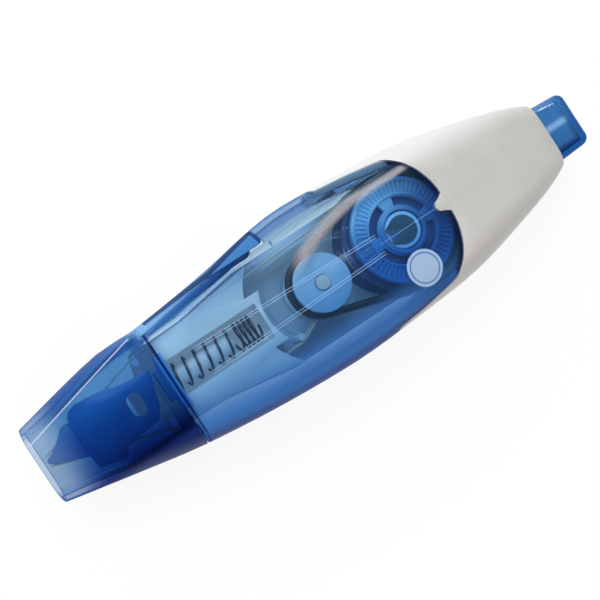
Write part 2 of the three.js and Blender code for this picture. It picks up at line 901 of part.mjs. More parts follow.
function supplyReel() {
  return [
    piece("supply_spool", reel(
      supplyX, supplyBore, supplyFlangeRadius, supplyCoreRadius,
      nearFlangeRadius, supplyGrooveRadius, roundSteps,
    ), deepBlue),
    piece("tape_roll", annulus(
      supplyCoreRadius + runningGap, rollRadius, tapeBottom, tapeTop, supplyX, 0,
    ), tapeWhite),
    supplyDisc(),
  ];
}

function takeupReel() {
  const discBase = discBottom + takeupDiscRise;
  const disc = turned([
    [takeupBore, discBottom],
    [takeupCoreRadius, discBottom],
    [takeupCoreRadius, discBase],
    [takeupDiscRadius, discBase],
    [takeupDiscRadius, discBase + takeupDiscThickness],
    [takeupBore, discBase + takeupDiscThickness],
    [takeupBore, discBottom],
  ], takeupX, 0, takeupSteps);
  return [
    piece("takeup_spool", reel(
      takeupX, takeupBore, takeupFlangeRadius, takeupCoreRadius,
      takeupGrooveRadius + grooveLip, takeupGrooveRadius, takeupSteps,
    ), paleBlue),
    piece("used_tape", annulus(
      takeupCoreRadius + runningGap, usedTapeRadius, tapeBottom, tapeTop, takeupX, 0, 24,
    ), backing),
    piece("takeup_disc", disc, paleBlue),
  ];
}

// Centre line of the belt: two arcs and the straight runs that touch both
function beltPoints() {
  const big = supplyGrooveRadius + beltGap + beltDiameter / 2;
  const small = takeupGrooveRadius + beltGap + beltDiameter / 2;
  const lean = Math.acos((big - small) / (supplyX - takeupX));
  const points = [];
  for (let i = 0; i <= bigArcSteps; i += 1) {
    const angle = -(Math.PI - lean) + (i / bigArcSteps) * 2 * (Math.PI - lean);
    points.push(new THREE.Vector3(supplyX + big * Math.cos(angle), big * Math.sin(angle), beltZ));
  }
  for (let i = 0; i <= smallArcSteps; i += 1) {
    const angle = Math.PI - lean + (i / smallArcSteps) * 2 * lean;
    points.push(new THREE.Vector3(takeupX + small * Math.cos(angle), small * Math.sin(angle), beltZ));
  }
  return points;
}

function driveBelt() {
  const points = beltPoints();
  const count = points.length;
  const positions = [];
  const index = [];
  for (let i = 0; i < count; i += 1) {
    const before = points[(i + count - 1) % count];
    const after = points[(i + 1) % count];
    const tangent = after.clone().sub(before).normalize();
    const out = new THREE.Vector3(tangent.y, -tangent.x, 0);
    for (let s = 0; s < beltSides; s += 1) {
      const angle = (s / beltSides) * Math.PI * 2;
      const p = points[i].clone().addScaledVector(out, Math.cos(angle) * beltDiameter / 2);
      positions.push(p.x, p.y, p.z + Math.sin(angle) * beltDiameter / 2);
    }
  }
  for (let i = 0; i < count; i += 1) {
    const next = (i + 1) % count;
    for (let s = 0; s < beltSides; s += 1) {
      const t = (s + 1) % beltSides;
      const a = i * beltSides + s;
      const b = i * beltSides + t;
      const c = next * beltSides + s;
      const d = next * beltSides + t;
      index.push(a, c, b, b, c, d);
    }
  }
  const geometry = new THREE.BufferGeometry();
  geometry.setAttribute("position", new THREE.Float32BufferAttribute(positions, 3));
  geometry.setIndex(index);
  return piece("drive_belt", closedGeometry(geometry), rubber);
}

const plateRadius = supplyFlangeRadius + plateRim;
const plateRearX = supplyX + plateRadius + plateTail;

function plateShape() {
  const shape = new THREE.Shape();
  shape.moveTo(plateTongueX, -plateTongueHalfWidth);
  shape.lineTo(plateFrontX - plateSlope, -plateTongueHalfWidth);
  shape.lineTo(plateFrontX, -plateFrontHalfWidth);
  shape.lineTo(plateWaistX, -plateWaistHalfWidth);
  shape.lineTo(plateMidX, -plateMidHalfWidth);
  shape.absarc(supplyX, 0, plateRadius, -plateJoinAngle, -plateTailAngle, false);
  shape.lineTo(plateRearX, -pushWallHalfWidth);
  shape.lineTo(plateRearX, pushWallHalfWidth);
  shape.absarc(supplyX, 0, plateRadius, plateTailAngle, plateJoinAngle, false);
  shape.lineTo(plateMidX, plateMidHalfWidth);
  shape.lineTo(plateWaistX, plateWaistHalfWidth);
  shape.lineTo(plateFrontX, plateFrontHalfWidth);
  shape.lineTo(plateFrontX - plateSlope, plateTongueHalfWidth);
  shape.lineTo(plateTongueX, plateTongueHalfWidth);
  return shape;
}

// Angle at which a circle round the take-up reel reaches a half width
function reachAngle(radius, halfWidth) {
  return Math.asin(halfWidth / radius);
}

// End cup of the spring channel, its rear edge hollowed round the take-up reel
function springCup() {
  const angle = reachAngle(cupRearRadius, cupHalfWidth);
  const shape = new THREE.Shape();
  shape.moveTo(cupShoulderX, -cupHalfWidth);
  shape.absarc(takeupX, 0, cupRearRadius, Math.PI + angle, Math.PI - angle, true);
  shape.lineTo(cupShoulderX, cupHalfWidth);
  shape.lineTo(cupShoulderX, channelHalfWidth);
  shape.lineTo(cupX, channelHalfWidth);
  shape.lineTo(cupX, -channelHalfWidth);
  shape.lineTo(cupShoulderX, -channelHalfWidth);
  return solid(raised(shape, plateTop - rootSink, channelTop));
}

// Low round seat of the take-up reel, cut away under the flange of the supply reel
function takeupSeat() {
  const inner = takeupFlangeRadius + runningGap;
  const top = plateTop + seatRise;
  const ring = solid(annulus(inner, seatRadius, plateTop - rootSink, top, takeupX, 0, takeupSteps));
  const spared = supplyFlangeRadius + runningGap;
  return ring.subtract(solid(cylinder(spared, plateTop, top + throughCut, supplyX, 0, roundSteps)));
}

function cartridgeBase() {
  const rootZ = plateTop - rootSink;
  let body = solid(raised(plateShape(), plateBottom, plateTop, 20));
  for (const side of [-1, 1]) {
    const inner = side * channelHalfWidth;
    const outer = side * (channelHalfWidth + channelWall);
    body = body.add(block(
      channelFrontX, cupX,
      Math.min(inner, outer), Math.max(inner, outer),
      rootZ, channelTop,
    ));
  }
  body = body.add(springCup()).add(takeupSeat());
  body = body.add(block(
    plateRearX - pushWallThickness, plateRearX,
    -pushWallHalfWidth, pushWallHalfWidth,
    rootZ, channelTop,
  ));
  return solidPiece("cartridge_base", body, paleBlue);
}

// Pale plate over the tape runs, open over the spring, its rear edge round the take-up reel
function cartridgeCover() {
  const bottom = channelTop + seatGap;
  const edgeFront = plateFrontHalfWidth - coverEdge;
  const edgeWaist = plateWaistHalfWidth - coverEdge;
  const sideAngle = reachAngle(coverRearRadius, plateMidHalfWidth - coverEdge);
  const innerAngle = reachAngle(coverRearRadius, cupHalfWidth);
  const cupAngle = reachAngle(cupRearRadius, cupHalfWidth);
  const shape = new THREE.Shape();
  shape.moveTo(channelFrontX, -edgeFront);
  shape.lineTo(plateWaistX, -edgeWaist);
  shape.absarc(takeupX, 0, coverRearRadius, Math.PI + sideAngle, Math.PI + innerAngle, true);
  shape.absarc(takeupX, 0, cupRearRadius, Math.PI + cupAngle, Math.PI - cupAngle, true);
  shape.absarc(takeupX, 0, coverRearRadius, Math.PI - innerAngle, Math.PI - sideAngle, true);
  shape.lineTo(plateWaistX, edgeWaist);
  shape.lineTo(channelFrontX, edgeFront);
  shape.lineTo(channelFrontX, channelHalfWidth);
  shape.lineTo(cupX, channelHalfWidth);
  shape.lineTo(cupX, -channelHalfWidth);
  shape.lineTo(channelFrontX, -channelHalfWidth);
  return piece("cartridge_cover", closedGeometry(raised(shape, bottom, bottom + coverThickness)), paleBlue);
}

// Open post of the supply reel with its key, and the pin of the take-up reel
function reelPosts() {
  const postTop = discTop - supplyPostSink;
  const foot = plateTop + seatGap;
  const boreRadius = supplyPostRadius - supplyPostWall;
  const wallMiddle = supplyPostRadius - supplyPostWall / 2;
  const tube = solid(annulus(boreRadius, supplyPostRadius, foot, postTop, supplyX, 0, takeupSteps));
  const floor = solid(cylinder(wallMiddle, foot, flangeTop, supplyX, 0, takeupSteps));
  const slot = block(
    supplyX - supplyPostRadius - throughCut, supplyX,
    -postSlotHalfWidth, postSlotHalfWidth,
    flangeTop + postSlotFloor, postTop + throughCut,
  );
  const key = block(
    supplyX - wallMiddle, supplyX - keyInnerRadius,
    -keyHalfWidth, keyHalfWidth,
    foot, postTop,
  );
  const takeupTop = discBottom + takeupDiscRise + takeupDiscThickness + takeupPostRise;
  return [
    solidPiece("supply_post", tube.add(floor).subtract(slot).add(key), midBlue),
    piece("takeup_post", cylinder(takeupPostRadius, foot, takeupTop, takeupX, 0), midBlue),
  ];
}

// Path that the tape follows, as the side of it that touches what guides it
const pathOffset = pinRadius + seatGap;
const feedPinTop = feedPinY + pathOffset;
const spoolPinLow = spoolPinY - pathOffset;
const tipPathY = headTipHalf + tipPathGap;

function ribbon(points) {
  const shape = new THREE.Shape();
  const left = [];
  const right = [];
  for (let i = 0; i < points.length; i += 1) {
    const before = points[Math.max(i - 1, 0)];
    const after = points[Math.min(i + 1, points.length - 1)];
    const along = after.clone().sub(before).normalize();
    const across = new THREE.Vector2(-along.y, along.x);
    left.push(points[i].clone());
    right.push(points[i].clone().addScaledVector(across, -tapeThickness));
  }
  shape.setFromPoints([...left, ...right.reverse()]);
  return closedGeometry(raised(shape, tapeBottom, tapeTop));
}

function feedTape() {
  const rollTop = rollRadius + runningGap;
  const points = [
    new THREE.Vector2(supplyX - tapeLift, rollTop),
    new THREE.Vector2(supplyX - 4 * tapeLift, rollTop),
    new THREE.Vector2(feedPinX, feedPinTop),
    new THREE.Vector2(headTipX - tipOverrun, tipPathY),
  ];
  return piece("feed_tape", ribbon(points), tapeWhite);
}

function returnTape() {
  const points = [
    new THREE.Vector2(headTipX + tipOverrun, -tipPathY),
    new THREE.Vector2(feedPinX, -feedPinTop),
    new THREE.Vector2(spoolPinX, spoolPinLow),
    new THREE.Vector2(takeupX - tapeLift, -usedTapeRadius - runningGap),
  ];
  return piece("return_tape", ribbon(points), backing);
}

function guidePins() {
  const bottom = plateTop + seatGap;
  const top = tapeTop + runningGap;
  return [
    piece("feed_guide_pin", cylinder(pinRadius, bottom, top, feedPinX, feedPinY, 12), natural),
    piece("return_guide_pin", cylinder(pinRadius, bottom, top, feedPinX, -feedPinY, 12), natural),
    piece("spool_guide_pin", cylinder(pinRadius, bottom, top, spoolPinX, spoolPinY, 12), natural),
  ];
}

// Space between the cheeks that a tape run needs, from its straight path outwards
function tapeChannel(side) {
  const slope = (feedPinTop - tipPathY) / (feedPinX - headTipX);
  const startY = headTipHalf + edgeGap;
  const shape = new THREE.Shape();
  shape.moveTo(headTipX - channelOverrun, side * (startY - channelOverrun * slope));
  shape.lineTo(feedPinX + channelOverrun, side * (startY + slope * (feedPinX + channelOverrun - headTipX)));
  shape.lineTo(feedPinX + channelOverrun, side * wide);
  shape.lineTo(headTipX - channelOverrun, side * wide);
  return solid(raised(shape, tapeBottom - edgeGap, tapeTop + edgeGap));
}

// Room inside the nose cover that the head may fill, so that it still fits when pushed out
function headRoom() {
  return casingSolid(wall + runningGap, mouthX - throughCut, noseJointX).translate(knockTravel, 0, 0);
}

// Head that presses the tape down: a block between two cheeks that guide its edges
function headBlock() {
  const bottom = tapeBottom - cheekThickness;
  const top = tapeTop + cheekThickness;
  const shape = new THREE.Shape();
  shape.moveTo(headStepX, headStepY);
  shape.quadraticCurveTo(headStepX, headTopY, headTopX, headTopY);
  shape.quadraticCurveTo((headTopX + headDipX) / 2, headTopY, headDipX, headDipY);
  shape.lineTo(headBackX, headBackTopY);
  shape.lineTo(headBackLowX, headBackLowY);
  shape.lineTo(headHeelX, headHeelY);
  shape.absarc(headChinX, headChinY, headChinRadius, -headChinAngle, -Math.PI, true);
  shape.lineTo(headStepX, headChinY + headChinRadius / 2);
  let body = solid(raised(shape, bottom, top)).intersect(headRoom());
  body = body.subtract(tapeChannel(1)).subtract(tapeChannel(-1));
  body = body.add(block(
    headFootX, headFootX + headFootLength,
    -headFootHalfWidth, headFootHalfWidth,
    plateTop + seatGap, bottom + rootSink,
  ));
  const slotShape = new THREE.Shape();
  slotShape.absarc(headSlotX, headSlotY + headSlotLength / 2, headSlotRadius, 0, Math.PI, false);
  slotShape.absarc(headSlotX, headSlotY - headSlotLength / 2, headSlotRadius, Math.PI, Math.PI * 2, false);
  body = body.subtract(solid(raised(slotShape, bottom - throughCut, top + throughCut)));
  return solidPiece("head_block", body, midBlue);
}

// Pressing tip: a blade that widens back to the step of the head, with its own thin cheeks
function headTip() {
  const rearX = headStepX - seatGap;
  const shape = new THREE.Shape();
  shape.moveTo(headTipX + headTipRound, -headTipHalf);
  shape.quadraticCurveTo(headTipX, 0, headTipX + headTipRound, headTipHalf);
  shape.quadraticCurveTo(tipKneeX, tipKneeY - tipBreast, tipShoulderX, tipShoulderY);
  shape.lineTo(rearX, tipShoulderY);
  shape.lineTo(rearX, headChinY + headChinRadius / 2 - tipBreast);
  shape.lineTo(tipHeelX, tipHeelY);
  const body = solid(raised(shape, tapeBottom - cheekThickness, tapeTop + cheekThickness));
  return solidPiece("head_tip", body.subtract(tapeChannel(1)).subtract(tapeChannel(-1)), discBlue);
}

// Radial notches that leave a ring of pointed teeth on one end of a cam
function toothNotches(x) {
  let notches = null;
  const notchSide = camToothDepth * Math.SQRT2;
  for (let i = 0; i < camTeeth; i += 1) {
    const notch = new THREE.BoxGeometry(notchSide, notchSide, camRadius);
    notch.rotateZ(Math.PI / 4);
    notch.translate(x, 0, camRadius / 2 + camToothInner);
    notch.rotateX((i / camTeeth) * Math.PI * 2);
    notch.translate(0, 0, midZ);
    notches = notches ? notches.add(solid(notch)) : solid(notch);
  }
  return notches;
}

function rotorCam() {
  const rear = rotorFrontX + rotorLength;
  const body = solid(turnedOnAxis([
    [0, plateRearX + runningGap],
    [rotorBossRadius, plateRearX + runningGap],
    [rotorBossRadius, rotorFrontX],
    [camRadius, rotorFrontX],
    [camRadius, rear],
    [0, rear],
  ], camSteps));
  return solidPiece("rotor_cam", body.subtract(toothNotches(rear)), natural);
}

function knockPlunger() {
  const front = rotorFrontX + rotorLength + runningGap;
  const shaftEnd = buttonHollowEnd - runningGap;
  const body = solid(turnedOnAxis([
    [0, front],
    [camRadius, front],
    [camRadius, front + crownLength],
    [plungerShaftRadius, front + crownLength],
    [plungerShaftRadius, shaftEnd],
    [0, shaftEnd],
  ], camSteps));
  return solidPiece("knock_plunger", body.subtract(toothNotches(front)), natural);
}

// Sleeve that the plunger and the rotor slide in, carried by a plate across the housing
function camSleeve() {
  const rear = mechanismStartX + sleeveLength;
  const outer = sleeveBore + sleeveWall;
  const tube = solid(turnedOnAxis([
    [sleeveBore, mechanismStartX],
    [outer, mechanismStartX],
    [outer, rear],
    [sleeveBore, rear],
    [sleeveBore, mechanismStartX],
  ], sleeveSteps));
  const bore = solid(turnedOnAxis([
    [0, mechanismStartX - throughCut],
    [sleeveBore + sleeveWall / 2, mechanismStartX - throughCut],
    [sleeveBore + sleeveWall / 2, rear + throughCut],
    [0, rear + throughCut],
  ], sleeveSteps));
  const plate = casingSolid(wall + runningGap, sleevePlateX, sleevePlateX + sleevePlateThickness);
  return solidPiece("cam_sleeve", tube.add(plate.subtract(bore)), natural);
}

function knockButton() {
  const places = [buttonFrontX];
  for (const share of [0, 0.35, 0.65, 0.85, 0.96, 1]) {
    places.push(buttonEndX - buttonRounding + buttonRounding * share);
  }
  const rings = places.map((x) => {
    const reach = Math.max(x - (buttonEndX - buttonRounding), 0);
    return buttonRing(x, buttonRounding - Math.sqrt(Math.max(buttonRounding ** 2 - reach ** 2, 0)));
  });
  const hollow = solid(loft([
    buttonRing(buttonFrontX - throughCut, buttonWall),
    buttonRing(buttonHollowEnd, buttonWall),
  ]));
  const flange = solid(loft([
    buttonRing(buttonFrontX, -buttonFlange),
    buttonRing(buttonFrontX + buttonFlangeThickness, -buttonFlange),
  ]));
  return solidPiece("knock_button", solid(loft(rings)).add(flange).subtract(hollow), buttonBlue);
}

const correctionTape = new THREE.Group();
correctionTape.name = "correction_tape";

const casing = new THREE.Group();
casing.add(noseCover(), ...bodyShells(), rearHousing());

const cartridge = new THREE.Group();
cartridge.add(
  cartridgeBase(), cartridgeCover(), ...reelPosts(), ...guidePins(),
  headBlock(), headTip(), feedTape(), returnTape(), driveBelt(),
);

const reels = new THREE.Group();
reels.add(...supplyReel(), ...takeupReel());

const mechanism = new THREE.Group();
mechanism.add(
  springStop(), springRod(), returnSpring(),
  camSleeve(), rotorCam(), knockPlunger(), knockButton(),
);

correctionTape.add(casing, cartridge, reels, mechanism);

export default correctionTape;
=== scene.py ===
import bpy
import json
import math
from mathutils import Matrix, Vector


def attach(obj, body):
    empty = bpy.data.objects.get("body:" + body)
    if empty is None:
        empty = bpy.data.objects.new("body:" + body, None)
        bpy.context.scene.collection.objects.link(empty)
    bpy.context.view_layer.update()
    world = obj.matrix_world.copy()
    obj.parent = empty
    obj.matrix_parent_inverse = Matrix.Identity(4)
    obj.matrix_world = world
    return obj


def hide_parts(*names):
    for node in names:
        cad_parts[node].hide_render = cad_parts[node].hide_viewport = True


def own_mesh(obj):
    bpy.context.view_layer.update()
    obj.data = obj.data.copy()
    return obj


# Retractable correction tape, lying flat and seen from above.
# X runs from the mouth to the push button, Y across the broad face, Z up. Lengths are in metres.

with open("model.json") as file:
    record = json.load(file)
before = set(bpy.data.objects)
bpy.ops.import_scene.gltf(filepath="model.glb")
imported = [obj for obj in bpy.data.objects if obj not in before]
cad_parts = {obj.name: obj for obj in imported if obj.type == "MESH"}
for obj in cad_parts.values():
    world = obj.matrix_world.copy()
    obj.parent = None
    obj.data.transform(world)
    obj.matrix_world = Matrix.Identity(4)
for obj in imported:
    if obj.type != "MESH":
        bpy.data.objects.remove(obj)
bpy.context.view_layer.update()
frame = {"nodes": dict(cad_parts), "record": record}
mm = 0.001
axisZ = 0.0095  # middle of the casing's thickness
print("frame loaded:", len(frame["nodes"]), "nodes")


# Small tools

def deselectAll():
    if bpy.context.object and bpy.context.object.mode != "OBJECT":
        bpy.ops.object.mode_set(mode="OBJECT")
    bpy.ops.object.select_all(action="DESELECT")


def pick(obj):
    deselectAll()
    obj.select_set(True)
    bpy.context.view_layer.objects.active = obj


def applyModifier(obj, kind, **settings):
    pick(obj)
    modifier = obj.modifiers.new(kind.lower(), kind)
    for name, value in settings.items():
        setattr(modifier, name, value)
    bpy.ops.object.modifier_apply(modifier=modifier.name)


def smoothByAngle(obj, degrees):
    pick(obj)
    bpy.ops.object.shade_smooth_by_angle(angle=math.radians(degrees))


# A copy of a CAD node with its doubles merged and its edges rounded off, standing for that node
def refinedCopy(node, body, name, roundEdge):
    mend = {"merge": 0.002 * mm, "flat": 0.6, "bevelAngle": 38, "bevelSteps": 2, "smoothAngle": 42}
    pick(frame["nodes"][node])
    bpy.ops.object.duplicate()
    copy = bpy.context.object
    copy.name = name
    copy.parent = None
    for key in list(copy.keys()):
        del copy[key]
    bpy.ops.object.mode_set(mode="EDIT")
    bpy.ops.mesh.select_all(action="SELECT")
    bpy.ops.mesh.remove_doubles(threshold=mend["merge"])
    bpy.ops.mesh.dissolve_limited(angle_limit=math.radians(mend["flat"]))
    bpy.ops.object.mode_set(mode="OBJECT")
    applyModifier(copy, "BEVEL", width=roundEdge, segments=mend["bevelSteps"], limit_method="ANGLE",
                  angle_limit=math.radians(mend["bevelAngle"]), harden_normals=False, miter_outer="MITER_ARC")
    smoothByAngle(copy, mend["smoothAngle"])
    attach(copy, body)
    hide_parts(node)
    return copy


# Shader maths on sockets

class Value:
    def __init__(self, tree, socket):
        self.tree = tree
        self.socket = socket

    def math(self, operation, first, second=None):
        node = self.tree.nodes.new("ShaderNodeMath")
        node.operation = operation
        for slot, value in enumerate((first, second)):
            if isinstance(value, Value):
                self.tree.links.new(value.socket, node.inputs[slot])
            elif value is not None:
                node.inputs[slot].default_value = value
        return Value(self.tree, node.outputs[0])

    def __add__(self, other): return self.math("ADD", self, other)
    def __radd__(self, other): return self.math("ADD", other, self)
    def __sub__(self, other): return self.math("SUBTRACT", self, other)
    def __rsub__(self, other): return self.math("SUBTRACT", other, self)
    def __mul__(self, other): return self.math("MULTIPLY", self, other)
    def __rmul__(self, other): return self.math("MULTIPLY", other, self)
    def __truediv__(self, other): return self.math("DIVIDE", self, other)
    def __pow__(self, other): return self.math("POWER", self, other)
    def above(self, other): return self.math("GREATER_THAN", self, other)
    def below(self, other): return self.math("LESS_THAN", self, other)
    def least(self, other): return self.math("MINIMUM", self, other)
    def most(self, other): return self.math("MAXIMUM", self, other)
    def size(self): return self.math("ABSOLUTE", self)
    def root(self): return self.math("SQRT", self)


class Finish:
    def __init__(self, name):
        self.material = bpy.data.materials.new(name)
        self.material.use_nodes = True
        self.tree = self.material.node_tree
        self.tree.nodes.clear()

    def node(self, kind, settings, inputs, output=0):
        node = self.tree.nodes.new(kind)
        for name, value in settings.items():
            setattr(node, name, value)
        for name, value in inputs.items():
            if isinstance(value, Value):
                self.tree.links.new(value.socket, node.inputs[name])
            else:
                node.inputs[name].default_value = value
        return Value(self.tree, node.outputs[output])

    def place(self):
        return self.node("ShaderNodeTexCoord", {}, {}, "Object")

    def axes(self):
        place = self.place()
        split = self.tree.nodes.new("ShaderNodeSeparateXYZ")
        self.tree.links.new(place.socket, split.inputs[0])
        return [Value(self.tree, split.outputs[i]) for i in range(3)]

    def noise(self, scale, detail=2, stretch=None):
        place = self.place()
        if stretch:
            place = self.node("ShaderNodeMapping", {}, {"Vector": place, "Scale": stretch})
        return self.node("ShaderNodeTexNoise", {}, {"Vector": place, "Scale": scale, "Detail": detail})

    def range(self, value, low, high, toLow, toHigh):
        return self.node("ShaderNodeMapRange", {"interpolation_type": "SMOOTHSTEP"}, {
            "Value": value, "From Min": low, "From Max": high, "To Min": toLow, "To Max": toHigh,
        })

    def mixColour(self, factor, first, second):
        return self.node("ShaderNodeMix", {"data_type": "RGBA"}, {0: factor, 6: first, 7: second}, 2)

    def bump(self, height, strength, distance):
        return self.node("ShaderNodeBump", {}, {
            "Height": height, "Strength": strength, "Distance": distance,
        })

    def principled(self, inputs):
        return self.node("ShaderNodeBsdfPrincipled", {}, inputs)

    def transparent(self, colour):
        return self.node("ShaderNodeBsdfTransparent", {}, {"Color": colour})

    def glossy(self, roughness, tone):
        return self.node("ShaderNodeBsdfAnisotropic", {}, {"Color": tone, "Roughness": roughness})

    def mixShader(self, factor, first, second):
        return self.node("ShaderNodeMixShader", {}, {0: factor, 1: first, 2: second})

    def grazing(self):
        return self.node("ShaderNodeLayerWeight", {}, {"Blend": 0.5}, "Facing")

    def fresnel(self, ior):
        return self.node("ShaderNodeFresnel", {}, {"IOR": ior})

    def finish(self, shader):
        output = self.tree.nodes.new("ShaderNodeOutputMaterial")
        self.tree.links.new(shader.socket, output.inputs["Surface"])
        return self.material


# A colour as read off a screen, from 0 to 255, as linear light
def colour(red, green, blue, alpha=1.0):
    def linear(value):
        value /= 255
        return value / 12.92 if value <= 0.04045 else ((value + 0.055) / 1.055) ** 2.4
    return (linear(red), linear(green), linear(blue), alpha)


def dress(material, *objects):
    for obj in objects:
        obj.data.materials.clear()
        obj.data.materials.append(material)


# Moulded plastic: colour graded along the axes, partly as painted light and shade; fine mottling, slight
# grain, faint painted glow
def mouldedPlastic(name, base, deep, roughness, grades=(), glow=0.0, lit=None):
    surface = {
        "clouds": 140, "specks": 2600, "cloudLow": 0.35, "cloudHigh": 0.65, "sheen": 0.4,
        "speckRoughness": 0.12, "grainStrength": 0.15, "grain": 0.02 * mm,
    }
    finish = Finish(name)
    axes = finish.axes()
    cloud = finish.noise(surface["clouds"])
    speck = finish.noise(surface["specks"])
    share = finish.range(cloud, surface["cloudLow"], surface["cloudHigh"], 0.0, 1.0)
    tone = finish.mixColour(share, base, deep)
    for grade in grades:
        share = finish.range(axes[grade["axis"]], grade["from"], grade["to"], 0.0, grade.get("share", 1.0))
        if "beyond" in grade:
            share = share * axes[0].above(grade["beyond"])
        tone = finish.mixColour(share, tone, grade["colour"])
    light = tone
    if lit:
        share = finish.range(axes[2], lit["top"], lit["floor"], 0.0, 1.0) * axes[0].below(lit["rear"])
        light = finish.mixColour(share * axes[1].size().below(lit["half"]), tone, lit["colour"])
    shader = finish.principled({
        "Base Color": tone,
        "Roughness": roughness - surface["speckRoughness"] / 2 + surface["speckRoughness"] * speck,
        "Specular IOR Level": surface["sheen"],
        "Emission Color": light,
        "Emission Strength": glow,
        "Normal": finish.bump(speck, surface["grainStrength"], surface["grain"]),
    })
    return finish.finish(shader)


# Clear tinted plastic: tints deepening towards -Y as painted shade and at grazing angles; haze, marks, gloss.
# The gloss fades at grazing angles and on the side away from the light.
def clearPlastic(name, look, marks):
    surface = {
        "clouds": 90, "hazeRoughness": 0.35, "hazeSheen": 0.3, "hazeLeast": 0.7, "hazeCloud": 0.6,
        "ripples": 60, "rippleStrength": 0.05, "ripple": 0.1 * mm,
        "glossFrom": 0.6, "glossTo": 0.95, "glossLeast": 0.1, "dullShare": 0.25,
    }
    finish = Finish(name)
    x, y, z = finish.axes()
    facing = finish.grazing()
    body = finish.mixShader(
        finish.range(y, look["lowY"], look["highY"], 0.0, 1.0),
        finish.transparent(look["lowTint"]),
        finish.transparent(look["tint"]),
    )
    for edge in look["edges"]:
        share = finish.range(facing, edge["from"], edge["to"], 0.0, edge["share"])
        if "fullY" in edge:
            share = share * finish.range(y, edge["fullY"], edge["noneY"], 1.0, 0.0)
        body = finish.mixShader(share, body, finish.transparent(edge["tint"]))
    cloud = finish.noise(surface["clouds"])
    haze = finish.principled({
        "Base Color": finish.mixColour(cloud, look["haze"], look["hazeDeep"]),
        "Roughness": surface["hazeRoughness"],
        "Specular IOR Level": surface["hazeSheen"],
    })
    share = look["hazeShare"] * (surface["hazeLeast"] + surface["hazeCloud"] * cloud)
    body = finish.mixShader(share, body, haze)
    for mark in marks:
        body = mark(finish, body, x, y, z)
    gloss = finish.glossy(look["gloss"], look["glossColour"])
    normal = finish.bump(finish.noise(surface["ripples"]), surface["rippleStrength"], surface["ripple"])
    finish.tree.links.new(normal.socket, gloss.socket.node.inputs["Normal"])
    share = finish.fresnel(look["ior"]) * look["glossShare"]
    share = share * finish.range(facing, surface["glossFrom"], surface["glossTo"], 1.0, surface["glossLeast"])
    share = share * finish.range(y, look["brightY"], look["dullY"], 1.0, surface["dullShare"])
    return finish.finish(finish.mixShader(share, body, gloss))


# Opaque paint with little sheen, for the marks
def paint(finish, tone, roughness=0.4, sheen=0.08):
    return finish.principled({"Base Color": tone, "Roughness": roughness, "Specular IOR Level": sheen})


# Pale round spot on the near face, with a thin ring
def roundSpot(finish, body, x, y, z):
    spot = {
        "x": 13.6 * mm, "y": -7.8 * mm, "radius": 3.4 * mm, "above": 18.1 * mm, "share": 0.92,
        "ring": 2.75 * mm, "ringHalf": 0.12 * mm, "roughness": 0.32, "sheen": 0.5,
        "tone": colour(154, 178, 208), "ringTone": colour(60, 110, 165),
    }
    away = ((x - spot["x"]) ** 2 + (y - spot["y"]) ** 2).root()
    inside = away.below(spot["radius"]) * z.above(spot["above"])
    ring = (away - spot["ring"]).size().below(spot["ringHalf"])
    tone = finish.mixColour(ring, spot["tone"], spot["ringTone"])
    label = paint(finish, tone, spot["roughness"], spot["sheen"])
    return finish.mixShader(inside * spot["share"], body, label)


# Navy line inside the round end of the window
def windowRim(finish, body, x, y, z):
    arc = {
        "x": 4.93 * mm, "inner": 17.9 * mm, "outer": 18.6 * mm, "from": 12 * mm, "to": 15 * mm,
        "share": 0.75, "tint": (0.08, 0.10, 0.38, 1),
    }
    away = ((x - arc["x"]) ** 2 + y ** 2).root()
    share = finish.range(away, arc["inner"], arc["outer"], 0.0, arc["share"])
    share = share * finish.range(x, arc["from"], arc["to"], 0.0, 1.0)
    return finish.mixShader(share, body, finish.transparent(arc["tint"]))


# Painted highlight over the upper belt run: a grey streak with light specks
def beltHighlightStreak(finish, body, x, y, z):
    streak = {
        "bend": 8.6 * mm, "y": 9.4 * mm, "fall": 0.1315, "curve": 11.95, "half": 0.62 * mm, "grow": 0.03,
        "core": 0.2, "rim": 1.4, "front": -8 * mm, "full": -3 * mm, "rear": 22.5 * mm, "above": 18 * mm,
        "specks": 4200, "share": 0.42, "speckShare": 0.5,
        "tone": colour(128, 134, 148), "lightTone": colour(200, 196, 196),
    }
    behind = (streak["bend"] - x).most(0)
    centre = streak["y"] - behind * streak["fall"] - behind * behind * streak["curve"]
    half = streak["half"] + (streak["rear"] - x).most(0) * streak["grow"]
    soft = 1 - finish.range((y - centre).size() / half, streak["core"], streak["rim"], 0.0, 1.0)
    ends = finish.range(x, streak["front"], streak["full"], 0.0, 1.0) * x.below(streak["rear"])
    speck = finish.noise(streak["specks"])
    highlightPaint = paint(finish, finish.mixColour(speck, streak["tone"], streak["lightTone"]))
    share = soft * ends * (streak["share"] + streak["speckShare"] * speck) * z.above(streak["above"])
    return finish.mixShader(share, body, highlightPaint)


# Deeper blue towards the edge of the lower side, where the plastic is seen along its wall
def lowerDepth(finish, body, x, y, z):
    depth = {
        "half": 15.56 * mm, "widest": -2 * mm, "narrow": 2.8, "from": 8.5 * mm, "to": 1.8 * mm, "share": 0.9,
        "rear": 26 * mm, "full": 2 * mm, "above": 11 * mm, "edgeFrom": 2.6 * mm, "edgeTo": 0.8 * mm,
        "tone": colour(62, 118, 188), "edgeTone": colour(0, 34, 110),
    }
    along = x - depth["widest"]
    inset = depth["half"] - along * along * depth["narrow"] + y
    share = finish.range(inset, depth["from"], depth["to"], 0.0, depth["share"])
    share = share * finish.range(x, depth["rear"], depth["full"], 0.0, 1.0) * z.above(depth["above"])
    edge = finish.range(inset, depth["edgeFrom"], depth["edgeTo"], 0.0, 1.0)
    tone = finish.mixColour(edge, depth["tone"], depth["edgeTone"])
    return finish.mixShader(share, body, paint(finish, tone))


